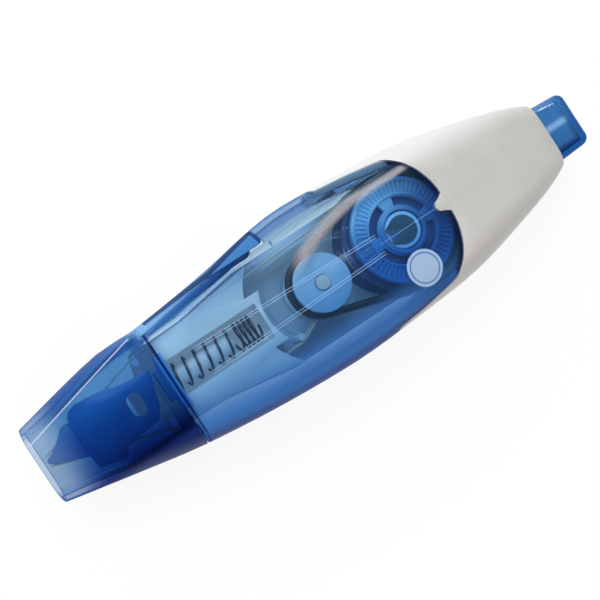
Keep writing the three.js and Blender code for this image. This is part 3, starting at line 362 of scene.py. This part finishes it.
# Navy line where the body meets the nose
def seamLine(finish, body, x, y, z):
    seam = {
        "x": -34.15 * mm, "half": 0.12 * mm, "soft": 0.3 * mm, "above": 12 * mm, "share": 0.8,
        "tint": (0.05, 0.12, 0.42, 1),
    }
    away = (x - seam["x"]).size()
    share = finish.range(away, seam["half"], seam["soft"], seam["share"], 0.0) * z.above(seam["above"])
    return finish.mixShader(share, body, finish.transparent(seam["tint"]))


# Painted shade: darker upper side beside the belt, and a bluer strip beside the latch arm
def upperPaintedShade(finish, body, x, y, z):
    side = {
        "inner": 8.4 * mm, "outer": 12 * mm, "front": -22 * mm, "full": -8 * mm, "above": 11 * mm,
        "share": 0.75, "tint": (0.50, 0.64, 0.77, 1),
    }
    strip = {
        "inner": 7.8 * mm, "outer": 8.9 * mm, "rear": -9 * mm, "full": -16 * mm,
        "share": 0.7, "tint": (0.62, 0.76, 0.89, 1),
    }
    share = finish.range(y, side["inner"], side["outer"], 0.0, side["share"]) * z.above(side["above"])
    share = share * finish.range(x, side["front"], side["full"], 0.0, 1.0)
    body = finish.mixShader(share, body, finish.transparent(side["tint"]))
    share = finish.range(y, strip["inner"], strip["outer"], 0.0, strip["share"])
    share = share * finish.range(x, strip["rear"], strip["full"], 0.0, 1.0)
    return finish.mixShader(share, body, finish.transparent(strip["tint"]))


# Painted highlights: fine light lines along both edges of the two rails, and one along the middle behind them
def railLines(finish, body, x, y, z):
    rail = {
        "start": -28 * mm, "end": 9 * mm, "startHalf": 2.5 * mm, "endHalf": 1.7 * mm,
        "middleEnd": 21.5 * mm, "above": 18.02 * mm, "apart": 0.24 * mm, "lineHalf": 0.05 * mm,
        "share": 0.55, "middleShare": 0.35, "tone": colour(170, 212, 250),
    }
    along = (x - rail["start"]) / (rail["end"] - rail["start"])
    place = rail["startHalf"] + along * (rail["endHalf"] - rail["startHalf"])
    beside = (y.size() - place).size() - rail["apart"]
    lines = beside.size().below(rail["lineHalf"]) * x.above(rail["start"]) * x.below(rail["end"])
    middle = y.size().below(rail["lineHalf"]) * x.above(rail["end"]) * x.below(rail["middleEnd"])
    share = z.above(rail["above"]) * (lines * rail["share"] + middle * rail["middleShare"])
    return finish.mixShader(share, body, paint(finish, rail["tone"]))


# The mouth end of the nose, paler and greyer where it isn't steep
def mouthFade(finish, body, x, y, z):
    fade = {
        "from": -51.5 * mm, "to": -58.5 * mm, "share": 0.8,
        "steep": 0.45, "steepest": 0.85, "steepShare": 0.1,
        "tint": (0.80, 0.86, 0.92, 1), "tone": colour(176, 192, 210), "toneShare": 0.13,
    }
    steep = finish.range(finish.grazing(), fade["steep"], fade["steepest"], 1.0, fade["steepShare"])
    share = finish.range(x, fade["from"], fade["to"], 0.0, fade["share"]) * steep
    pale = finish.mixShader(fade["toneShare"], finish.transparent(fade["tint"]), paint(finish, fade["tone"]))
    return finish.mixShader(share, body, pale)


# Painted shade on the lower side of the nose: deep navy behind the head, and navy paint along its edge
def noseShade(finish, body, x, y, z):
    deep = {
        "from": -3.5 * mm, "to": -7 * mm, "front": -52 * mm, "full": -45 * mm,
        "share": 0.8, "tint": (0.16, 0.28, 0.55, 1),
    }
    edge = {
        "from": -7.5 * mm, "to": -9.5 * mm, "front": -52 * mm, "full": -44 * mm,
        "share": 0.92, "frontShare": 0.5, "tone": colour(12, 36, 104),
    }
    share = finish.range(y, deep["from"], deep["to"], 0.0, deep["share"])
    share = share * finish.range(x, deep["front"], deep["full"], 0.0, 1.0)
    body = finish.mixShader(share, body, finish.transparent(deep["tint"]))
    share = finish.range(y, edge["from"], edge["to"], 0.0, edge["share"])
    share = share * finish.range(x, edge["front"], edge["full"], edge["frontShare"], 1.0)
    return finish.mixShader(share, body, paint(finish, edge["tone"]))


# Line of the crease on the nose's upper side
crease = {"x": -59.1 * mm, "y": 4.05 * mm, "slope": 0.271}


# Lilac glint painted along the crease
def creaseGlint(finish, body, x, y, z):
    glint = {
        "half": 0.06 * mm, "soft": 0.18 * mm, "rear": -36.5 * mm, "above": axisZ + 3 * mm, "share": 0.6,
        "tone": colour(196, 200, 240),
    }
    away = (y - crease["y"] - (x - crease["x"]) * crease["slope"]).size()
    share = 1 - finish.range(away, glint["half"], glint["soft"], 0.0, 1.0)
    share = share * x.below(glint["rear"]) * z.above(glint["above"]) * glint["share"]
    return finish.mixShader(share, body, paint(finish, glint["tone"]))


# The latch arm and the upper side of the nose in a brighter, milky blue
def armTone(finish, body, x, y, z):
    nose = {
        "creaseLength": 22 * mm, "width": 1.2 * mm, "front": -58 * mm, "full": -50 * mm,
        "share": 0.78, "frontShare": 0.5, "blendFrom": 0.4, "blendTo": 1.6,
        "tone": colour(44, 100, 168), "edgeTone": colour(24, 66, 138),
    }
    arm = {
        "front": -36 * mm, "full": -34 * mm, "inner": 8.6 * mm, "outer": 9.2 * mm, "share": 0.78,
        "toneFrom": -38 * mm, "toneTo": -35 * mm, "rearFrom": -34 * mm, "rearTo": -18 * mm,
        "tone": colour(116, 164, 208), "rearTone": colour(60, 118, 178),
    }
    rise = (x - crease["x"]).least(nose["creaseLength"]) * crease["slope"]
    beyond = (y - crease["y"] - rise) / nose["width"]
    share = finish.range(beyond, 0.0, 1.0, 0.0, nose["share"])
    share = share * finish.range(x, nose["front"], nose["full"], nose["frontShare"], 1.0)
    inner = finish.range(y, arm["inner"], arm["outer"], 0.0, arm["share"]) * z.above(axisZ)
    share = share.most(finish.range(x, arm["front"], arm["full"], 0.0, 1.0) * inner)
    edge = finish.range(beyond, nose["blendFrom"], nose["blendTo"], 0.0, 1.0)
    rear = finish.range(x, arm["rearFrom"], arm["rearTo"], 0.0, 1.0)
    tone = finish.mixColour(
        finish.range(x, arm["toneFrom"], arm["toneTo"], 0.0, 1.0),
        finish.mixColour(edge, nose["tone"], nose["edgeTone"]),
        finish.mixColour(rear, arm["tone"], arm["rearTone"]),
    )
    return finish.mixShader(share, body, paint(finish, tone))


# Navy line along the end of the latch arm
def armEndLine(finish, body, x, y, z):
    end = {"from": -9.225 * mm, "to": -8.95 * mm, "share": 0.75, "tint": (0.04, 0.12, 0.40, 1)}
    share = finish.range(x, end["from"], end["to"], 0.0, end["share"])
    return finish.mixShader(share, body, finish.transparent(end["tint"]))


# Navy crest line of the latch arm
def crestLine(finish, body, x, y, z):
    crest = {
        "bend": -19 * mm, "y": 12.15 * mm, "frontSlope": 0.08, "rearSlope": 0.24, "front": -33 * mm,
        "half": 0.3 * mm, "soft": 0.66 * mm, "share": 0.85, "tint": (0.03, 0.09, 0.40, 1),
    }
    ahead = (x - crest["bend"]).least(0) * crest["frontSlope"]
    behind = (x - crest["bend"]).most(0) * crest["rearSlope"]
    away = (y - crest["y"] - ahead - behind).size()
    share = finish.range(away, crest["half"], crest["soft"], crest["share"], 0.0)
    share = share * x.above(crest["front"]) * z.above(axisZ)
    return finish.mixShader(share, body, finish.transparent(crest["tint"]))


# The push button: navy end face and lower edge as painted shade, a light streak as a painted highlight, a
# broken glint painted on the upper edge
def buttonShades(finish, body, x, y, z):
    navy = {
        "lean": -0.12, "end": 56.6 * mm, "endFull": 58.6 * mm, "endShare": 0.8,
        "low": -2.9 * mm, "lowFull": -4.4 * mm, "lowShare": 0.85, "tint": (0.08, 0.27, 0.54, 1),
    }
    streak = {
        "y": 0.6 * mm, "half": 1.15 * mm, "rear": 58 * mm, "full": 56.4 * mm, "share": 0.5,
        "tone": colour(150, 196, 236),
    }
    glint = {
        "x": 51.2 * mm, "y": 5 * mm, "fall": 0.11, "half": 0.12 * mm, "rear": 56.8 * mm,
        "specks": 1300, "gaps": 0.47, "share": 0.7, "tone": colour(220, 228, 250),
    }
    end = finish.range(x + y * navy["lean"], navy["end"], navy["endFull"], 0.0, navy["endShare"])
    low = finish.range(y, navy["low"], navy["lowFull"], 0.0, navy["lowShare"])
    body = finish.mixShader(end.most(low), body, finish.transparent(navy["tint"]))
    share = finish.range((y - streak["y"]).size(), 0.0, streak["half"], streak["share"], 0.0)
    share = share * finish.range(x, streak["rear"], streak["full"], 0.0, 1.0) * z.above(axisZ)
    body = finish.mixShader(share, body, paint(finish, streak["tone"]))
    share = (y - glint["y"] + (x - glint["x"]) * glint["fall"]).size().below(glint["half"])
    share = share * x.below(glint["rear"]) * z.above(axisZ)
    share = share * finish.noise(glint["specks"], detail=1).above(glint["gaps"]) * glint["share"]
    return finish.mixShader(share, body, paint(finish, glint["tone"]))


def buildFinishes():
    made = {}
    made["clear_shell"] = clearPlastic("clearShell", {
        "tint": (0.88, 0.935, 0.95, 1), "lowTint": (0.69, 0.82, 0.91, 1), "lowY": -8 * mm, "highY": 5 * mm,
        "edges": (
            {"tint": (0.42, 0.62, 0.90, 1), "from": 0.5, "to": 0.95, "share": 0.75},
            {"tint": (0.20, 0.42, 0.82, 1), "from": 0.06, "to": 0.6, "share": 0.85,
             "fullY": -9 * mm, "noneY": -3 * mm},
            {"tint": (0.06, 0.16, 0.54, 1), "from": 0.7, "to": 0.95, "share": 0.8,
             "fullY": 13 * mm, "noneY": 9 * mm},
            {"tint": (0.05, 0.09, 0.44, 1), "from": 0.93, "to": 0.99, "share": 0.85},
        ),
        "haze": colour(100, 158, 215), "hazeDeep": colour(80, 140, 205), "hazeShare": 0.03,
        "gloss": 0.1, "glossColour": (0.46, 0.68, 1, 1), "glossShare": 0.42, "ior": 1.42,
        "brightY": -8 * mm, "dullY": -12.5 * mm,
    }, (lowerDepth, upperPaintedShade, seamLine, beltHighlightStreak, windowRim, railLines, roundSpot))
    made["nose_tint"] = clearPlastic("noseTint", {
        "tint": (0.50, 0.70, 0.84, 1), "lowTint": (0.26, 0.44, 0.68, 1), "lowY": -8 * mm, "highY": 3 * mm,
        "edges": (
            {"tint": (0.22, 0.44, 0.78, 1), "from": 0.45, "to": 0.92, "share": 0.8},
            {"tint": (0.02, 0.07, 0.36, 1), "from": 0.1, "to": 0.65, "share": 0.85,
             "fullY": -8 * mm, "noneY": -2 * mm},
            {"tint": (0.01, 0.03, 0.30, 1), "from": 0.93, "to": 0.99, "share": 0.85},
        ),
        "haze": colour(10, 95, 180), "hazeDeep": colour(6, 78, 160), "hazeShare": 0.06,
        "gloss": 0.1, "glossColour": (0.30, 0.58, 1, 1), "glossShare": 0.5, "ior": 1.36,
        "brightY": -5.5 * mm, "dullY": -9 * mm,
    }, (noseShade, armTone, mouthFade, armEndLine, crestLine, creaseGlint))
    made["button_tint"] = clearPlastic("buttonTint", {
        "tint": (0.48, 0.78, 0.93, 1), "lowTint": (0.24, 0.56, 0.82, 1), "lowY": -4 * mm, "highY": 2 * mm,
        "edges": (
            {"tint": (0.05, 0.28, 0.64, 1), "from": 0.4, "to": 0.9, "share": 0.8},
            {"tint": (0.01, 0.03, 0.28, 1), "from": 0.86, "to": 0.97, "share": 0.8},
        ),
        "haze": colour(76, 146, 202), "hazeDeep": colour(40, 108, 174), "hazeShare": 0.38,
        "gloss": 0.1, "glossColour": (0.6, 0.78, 1, 1), "glossShare": 0.7, "ior": 1.42,
        "brightY": -2.5 * mm, "dullY": -4.5 * mm,
    }, (buttonShades,))
    # White housing, lighter towards +Y as painted light
    made["white_housing"] = mouldedPlastic(
        "whiteHousing", colour(182, 182, 179), colour(177, 177, 173), roughness=0.34, grades=(
            {"axis": 1, "from": 2 * mm, "to": -12 * mm, "colour": colour(187, 184, 180)},
            {"axis": 1, "from": 5 * mm, "to": 13 * mm, "colour": colour(204, 205, 204)},
        ))
    # Blue head parts: lighter towards +Y and on the top face as painted light, with a faint painted glow
    made["head_blue"] = mouldedPlastic(
        "headBlue", colour(4, 104, 176), colour(3, 94, 164), roughness=0.42, glow=0.1, grades=(
            {"axis": 1, "from": 0, "to": 5 * mm, "colour": colour(16, 136, 212)},
            {"axis": 2, "from": 13 * mm, "to": 13.4 * mm, "colour": colour(52, 144, 214)},
            {"axis": 0, "from": -20 * mm, "to": -19 * mm, "colour": colour(158, 176, 194)},
            {"axis": 0, "from": 5 * mm, "to": 6 * mm, "colour": colour(118, 184, 240)},
            {"axis": 2, "from": 10 * mm, "to": 7 * mm, "beyond": 5 * mm, "colour": colour(182, 196, 208)},
        ))
    # A faint glow for the channel round the spring, which lies in deep shade
    channel = {
        "top": 14 * mm, "floor": 9 * mm, "half": 4 * mm, "rear": -13 * mm, "colour": (1.3, 1.6, 1.9, 1),
    }
    # Pale cartridge: lighter low down as painted light, darker low down beyond x = -14.4 mm as painted shade,
    # faint painted glow
    made["cartridge_pale"] = mouldedPlastic(
        "cartridgePale", colour(208, 226, 240), colour(198, 217, 232), roughness=0.45, glow=0.06, grades=(
            {"axis": 2, "from": 6.2 * mm, "to": 12 * mm, "colour": colour(178, 206, 228)},
            {"axis": 2, "from": 12 * mm, "to": 6.2 * mm, "beyond": -14.4 * mm,
             "colour": colour(144, 175, 204)},
            {"axis": 2, "from": 14.5 * mm, "to": 15.5 * mm, "colour": colour(126, 176, 220)},
            {"axis": 1, "from": 3 * mm, "to": 9 * mm, "colour": colour(188, 214, 232), "share": 0.6},
        ), lit=channel)
    # Blue disc: lighter towards +Y as painted light, darker towards +X as painted shade, with a faint painted
    # glow
    made["disc_blue"] = mouldedPlastic(
        "discBlue", colour(20, 112, 190), colour(16, 102, 180), roughness=0.36, glow=0.08, grades=(
            {"axis": 1, "from": 0, "to": 8 * mm, "colour": colour(110, 182, 234)},
            {"axis": 0, "from": 12 * mm, "to": 22 * mm, "colour": colour(14, 74, 146), "share": 0.8},
        ))
    made["spool_blue"] = mouldedPlastic(
        "spoolBlue", colour(14, 62, 138), colour(10, 50, 120), roughness=0.42)
    made["correction_layer"] = mouldedPlastic(
        "correctionLayer", colour(238, 237, 232), colour(230, 229, 223), roughness=0.7)
    made["backing_film"] = mouldedPlastic(
        "backingFilm", colour(214, 208, 194), colour(200, 194, 180), roughness=0.4)
    made["belt_rubber"] = mouldedPlastic(
        "beltRubber", colour(8, 12, 24), colour(14, 18, 32), roughness=0.6)
    # Natural plastic with a faint painted glow
    made["natural_plastic"] = mouldedPlastic(
        "naturalPlastic", colour(176, 200, 222), colour(164, 190, 214), roughness=0.45, glow=0.12)
    wire = {
        "drawing": 900, "stretch": (1, 6, 6), "roughness": 0.22, "drawnRoughness": 0.16,
        "tone": colour(58, 62, 74), "lightTone": colour(92, 96, 108),
    }
    steel = Finish("springSteel")
    drawn = steel.noise(wire["drawing"], detail=3, stretch=wire["stretch"])
    made["spring_steel"] = steel.finish(steel.principled({
        "Base Color": steel.mixColour(drawn, wire["tone"], wire["lightTone"]),
        "Metallic": 1.0,
        "Roughness": wire["roughness"] + wire["drawnRoughness"] * drawn,
    }))
    return made


# Return spring as one smooth wire, on the same turns as its CAD node
def buildSpring():
    size = {
        "radius": 2.56 * mm, "wire": 0.48 * mm, "front": -34.2 * mm, "rear": -15.3 * mm,
        "frontDead": 1, "active": 6, "rearDead": 4, "deadPitch": 0.95 * mm,
        "steps": 16, "roundness": 3, "smoothAngle": 50,
    }
    wire = size["wire"]
    dead = size["frontDead"] + size["rearDead"]
    active = (size["rear"] - size["front"] - 2 * wire - dead * size["deadPitch"]) / size["active"]
    points = []
    x = size["front"] + wire / 2
    for i in range((dead + size["active"]) * size["steps"] + 1):
        turn = i / size["steps"]
        angle = turn * 2 * math.pi
        points.append(Vector((x, size["radius"] * math.sin(angle), axisZ + size["radius"] * math.cos(angle))))
        isDead = turn < size["frontDead"] or turn >= size["frontDead"] + size["active"]
        x += (size["deadPitch"] if isDead else active) / size["steps"]
    deselectAll()
    bpy.ops.curve.primitive_bezier_curve_add(location=(0, 0, 0))
    curve = bpy.context.object
    curve.name = "springWire"
    curve.data.splines.clear()
    spline = curve.data.splines.new("POLY")
    spline.points.add(len(points) - 1)
    for point, place in zip(spline.points, points):
        point.co = (*place, 1)
    curve.data.bevel_depth = wire / 2
    curve.data.bevel_resolution = size["roundness"]
    curve.data.use_fill_caps = True
    pick(curve)
    bpy.ops.object.convert(target="MESH")
    spring = bpy.context.object
    smoothByAngle(spring, size["smoothAngle"])
    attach(spring, "casing")
    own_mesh(spring)
    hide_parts("return_spring")
    return spring


# The disc of the small reel drawn in round its axis, so that the belt shows beside it
def narrowDisc(disc):
    small = {"x": -3 * mm, "scale": 0.9}
    pick(disc)
    bpy.ops.object.mode_set(mode="EDIT")
    bpy.ops.mesh.select_all(action="SELECT")
    bpy.ops.transform.resize(value=(small["scale"], small["scale"], 1),
                             center_override=(small["x"], 0, axisZ))
    bpy.ops.object.mode_set(mode="OBJECT")


def buildPieces():
    made = {}
    recipes = {  # CAD node: body, piece name, rounding of its edges in millimetres
        "nose_cover": ("nose", "noseShell", 0.15),
        "body_shell_near": ("casing", "nearShell", 0.12),
        "body_shell_far": ("casing", "farShell", 0.12),
        "rear_housing": ("casing", "whiteRear", 0.15),
        "knock_button": ("button", "endButton", 0.15),
        "supply_disc": ("supply_reel", "ribbedDisc", 0.06),
        "supply_spool": ("supply_reel", "largeSpool", 0.12),
        "supply_post": ("cartridge", "keyedPost", 0.1),
        "takeup_spool": ("takeup_reel", "smallSpool", 0.1),
        "takeup_disc": ("takeup_reel", "paleDisc", 0.15),
        "cartridge_base": ("cartridge", "tapeTray", 0.12),
        "cartridge_cover": ("cartridge", "trayCover", 0.12),
        "head_block": ("cartridge", "headCheeks", 0.12),
        "head_tip": ("cartridge", "pressTip", 0.1),
        "spring_stop": ("casing", "springBar", 0.12),
        "spring_rod": ("casing", "springRod", 0.1),
    }
    for node, (body, name, edge) in recipes.items():
        made[node] = refinedCopy(node, body, name, edge * mm)
    made["return_spring"] = buildSpring()
    narrowDisc(made["takeup_disc"])
    return made


# Every CAD node, and the piece that stands for it, in the material of the node's slot
def dressAll(pieces, finishes):
    slots = {entry["node"]: entry["material_slot"] for entry in frame["record"]["subparts"]}
    for node, slotName in slots.items():
        dress(finishes[slotName], frame["nodes"][node])
        if node in pieces:
            dress(finishes[slotName], pieces[node])


# Floor that looks white to the camera and takes a faint shadow
def buildFloor():
    ground = {"size": 3, "z": -0.2 * mm, "white": 0.89, "tone": (0.9, 0.9, 0.9, 1), "roughness": 0.8}
    bpy.ops.mesh.primitive_plane_add(size=ground["size"], location=(0, 0, ground["z"]))
    floor = bpy.context.object
    floor.name = "floor"
    finish = Finish("paleFloor")
    rays = finish.tree.nodes.new("ShaderNodeLightPath")
    seen = Value(finish.tree, rays.outputs["Is Camera Ray"])
    for kind in ("Is Glossy Ray", "Is Transmission Ray"):
        seen = seen.most(Value(finish.tree, rays.outputs[kind]))
    plain = finish.principled({"Base Color": ground["tone"], "Roughness": ground["roughness"]})
    white = finish.node("ShaderNodeEmission", {}, {"Color": (1, 1, 1, 1), "Strength": 1.0})
    dress(finish.finish(finish.mixShader(ground["white"] * seen, plain, white)), floor)


# Soft lamp aimed at the origin, under the middle of the casing
def addLamp(name, look):
    deselectAll()
    bpy.ops.object.light_add(type="AREA", location=look["place"])
    lamp = bpy.context.object
    lamp.name = name
    lamp.data.shape = "RECTANGLE"
    lamp.data.size = look["width"]
    lamp.data.size_y = look["height"]
    lamp.data.energy = look["power"]
    lamp.rotation_euler = (-Vector(look["place"])).to_track_quat("-Z", "Y").to_euler()
    return lamp


def buildLights():
    world = bpy.data.worlds.new("studio")
    bpy.context.scene.world = world
    world.use_nodes = True
    tree = world.node_tree
    tree.nodes.clear()
    rays = tree.nodes.new("ShaderNodeLightPath")
    mix = tree.nodes.new("ShaderNodeMixShader")
    out = tree.nodes.new("ShaderNodeOutputWorld")
    tree.links.new(rays.outputs["Is Camera Ray"], mix.inputs[0])
    for slot, strength in ((1, 0.5), (2, 1.0)):  # light on the object, background
        sky = tree.nodes.new("ShaderNodeBackground")
        sky.inputs["Color"].default_value = (1, 1, 1, 1)
        sky.inputs["Strength"].default_value = strength
        tree.links.new(sky.outputs[0], mix.inputs[slot])
    tree.links.new(mix.outputs[0], out.inputs["Surface"])
    addLamp("overheadSoft", {"place": (-0.05, 0.32, 0.5), "width": 0.5, "height": 0.28, "power": 2.4})
    addLamp("stripUpper", {"place": (0.02, 0.42, 0.22), "width": 0.6, "height": 0.05, "power": 0.7})
    addLamp("stripLower", {"place": (0.05, -0.38, 0.3), "width": 0.5, "height": 0.05, "power": 0.35})
    band = {"place": (0.168, 0.0204, 0.5), "width": 0.13, "height": 0.011, "power": 0.07, "turn": 10.9}
    addLamp("beltGlint", band).rotation_euler = (0, 0, math.radians(band["turn"]))  # straight down


# Camera fitted to the photograph: places in millimetres, the angle of the casing's axis in the picture
def buildCamera():
    view = {
        "place": (-41.41, 2.37, 166.07), "target": (-6.6, -0.52, 9.5), "axisAngle": 33.401,
        "lens": 52.5, "sensor": 36, "near": 5 * mm,
    }
    place = Vector(view["place"]) * mm
    forward = (Vector(view["target"]) * mm - place).normalized()
    level = Vector((1, 0, 0)) - forward * forward.x
    level.normalize()
    rise = level.cross(forward)
    angle = math.radians(view["axisAngle"])
    right = level * math.cos(angle) - rise * math.sin(angle)
    up = level * math.sin(angle) + rise * math.cos(angle)
    data = bpy.data.cameras.new("photoCamera")
    data.lens = view["lens"]
    data.sensor_width = view["sensor"]
    data.clip_start = view["near"]
    camera = bpy.data.objects.new("photoCamera", data)
    bpy.context.scene.collection.objects.link(camera)
    turn = Matrix((right, up, -forward)).transposed()
    camera.matrix_world = Matrix.Translation(place) @ turn.to_4x4()
    bpy.context.scene.camera = camera


buildCamera()
buildLights()
buildFloor()
print("camera, lights and floor ready")
pieces = buildPieces()
print("pieces ready:", len(pieces))
dressAll(pieces, buildFinishes())
print("finishes ready")
bpy.context.scene.view_settings.view_transform = "Standard"
